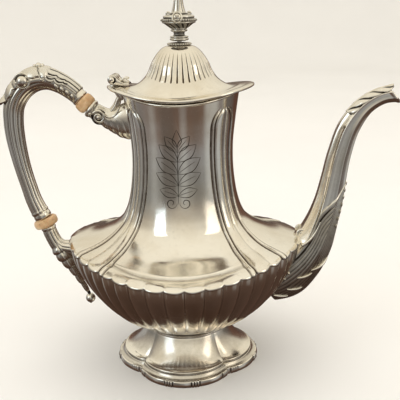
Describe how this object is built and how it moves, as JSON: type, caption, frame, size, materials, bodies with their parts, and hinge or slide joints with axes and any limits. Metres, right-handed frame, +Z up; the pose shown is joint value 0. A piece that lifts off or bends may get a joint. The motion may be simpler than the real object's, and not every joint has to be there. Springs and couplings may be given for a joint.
{
  "type": "silver coffee pot",
  "caption": "Footed silver coffee pot with a gadrooned bowl, panelled neck, gooseneck spout, insulated scroll handle and a hinged fluted lid with an urn finial.",
  "frame": {"origin": "centre of the overall footprint, on the surface the pot stands on", "axes": "+Z up, +X towards the spout, -X towards the handle, +Y across"},
  "size_m": [0.255, 0.1552, 0.25],
  "materials": {
    "silver": "polished sterling silver with fine wear scratches and a light warm tarnish",
    "chased_silver": "cast and chased silver, dark in the recesses and bright on the raised parts",
    "bone": "aged bone, satin, with fine grain along the axis"
  },
  "bodies": {
    "pot": {"foot_rim": "silver", "foot_dome": "silver", "foot_collar": "silver", "lower_bowl": "silver", "upper_body": "silver", "mouth_wire": "silver", "spout": "silver", "spout_base_leaf": "chased_silver", "spout_hood": "silver", "upper_handle_socket": "silver", "upper_insulator": "bone", "upper_socket_pin": "silver", "upper_grip_pin": "silver", "handle_grip": "silver", "thumb_leaf": "chased_silver", "lower_insulator": "bone", "lower_grip_pin": "silver", "lower_socket_pin": "silver", "lower_handle_socket": "silver", "hinge_bracket": "silver", "hinge_pin": "silver"},
    "lid": {"lid_shell": "silver", "lid_rim_wire": "silver", "lid_bezel": "silver", "lid_hinge_plate": "silver", "hinge_ornament": "chased_silver", "finial_collar": "silver", "finial": "chased_silver", "finial_stud": "silver", "finial_washer": "silver", "finial_nut": "silver"}
  },
  "joints": [
    {"name": "lid_hinge", "type": "hinge", "parent": "pot", "child": "lid", "pos_m": [-0.05258, 0, 0.1924], "axis": [0, -1, 0], "range_deg": [0, 100]}
  ]
}
